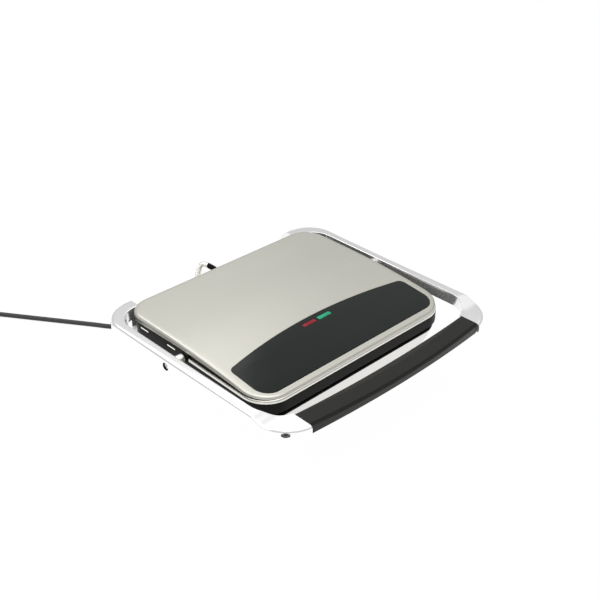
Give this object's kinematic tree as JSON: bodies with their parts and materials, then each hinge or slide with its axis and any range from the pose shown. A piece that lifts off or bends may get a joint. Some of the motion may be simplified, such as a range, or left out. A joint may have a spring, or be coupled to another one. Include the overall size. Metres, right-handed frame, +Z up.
{
  "type": "contact grill",
  "caption": "Countertop contact grill: ribbed plate in a low base, floating ribbed lid with a steel top in a chrome handle frame hinged at the back, and a tied mains lead.",
  "frame": {"origin": "on the table under the middle of the grill, halfway between the front of the grip and the back of the wiring loop, the mains lead left out", "axes": "+Z up, +Y to the back where the hinge is, +X to the right seen from the grip"},
  "size_m": [0.494, 0.6678, 0.081],
  "materials": {
    "stainless": "brushed, satin",
    "chrome": "mirror polished",
    "gloss_black": "glossy",
    "black_plastic": "matte, heat resistant",
    "satin_black": "satin, soft sheen",
    "non_stick": "cast, dark non-stick coating",
    "zinc_steel": "zinc plated",
    "cast_aluminium": "as cast",
    "rubber": "matte",
    "red_lens": "clear red lens, unlit",
    "green_lens": "clear green lens, unlit",
    "board": "circuit board",
    "cord_sheath": "satin sheath"
  },
  "bodies": {
    "base": {"base_shell": "stainless", "lower_surround": "black_plastic", "lower_plate": "non_stick", "lower_element": "zinc_steel", "lower_reflector": "zinc_steel", "bottom_cover": "black_plastic", "foot_front_left": "rubber", "foot_front_right": "rubber", "foot_rear_left": "rubber", "foot_rear_right": "rubber", "conduit_gland_base": "black_plastic", "strain_relief": "black_plastic", "wiring_conduit": "chrome", "hinge_bracket_left": "cast_aluminium", "hinge_bracket_right": "cast_aluminium", "hinge_pin_left": "zinc_steel", "hinge_pin_right": "zinc_steel", "cord_run": "cord_sheath", "cord_coil": "cord_sheath", "cord_tail": "cord_sheath", "cord_tie": "black_plastic", "plug": "black_plastic"},
    "frame": {"handle_frame": "chrome", "pivot_bolt_left": "chrome", "pivot_bolt_right": "chrome", "corner_screw_left": "zinc_steel", "corner_screw_right": "zinc_steel", "grip_upper": "satin_black", "grip_lower": "satin_black"},
    "lid": {"lid_shell": "stainless", "lid_trim": "stainless", "lid_skirt": "black_plastic", "control_panel": "gloss_black", "red_lamp": "red_lens", "green_lamp": "green_lens", "lamp_board": "board", "cover_clip_left_front": "zinc_steel", "cover_clip_left_rear": "zinc_steel", "cover_clip_right_front": "zinc_steel", "cover_clip_right_rear": "zinc_steel", "pivot_bush_left": "zinc_steel", "pivot_bush_right": "zinc_steel", "conduit_gland_lid": "black_plastic", "upper_plate": "non_stick", "upper_element": "zinc_steel", "upper_reflector": "zinc_steel", "thermostat": "black_plastic"}
  },
  "joints": [
    {"name": "frame_hinge", "type": "hinge", "parent": "base", "child": "frame", "pos_m": [0, 0.1545, 0.046], "axis": [-1, 0, 0], "range_deg": [0, 95], "deforming": ["wiring_conduit"]},
    {"name": "lid_tilt", "type": "hinge", "parent": "frame", "child": "lid", "pos_m": [0, 0.0245, 0.0643], "axis": [-1, 0, 0], "range_deg": [-1.8, 2.3], "deforming": ["wiring_conduit"]}
  ]
}
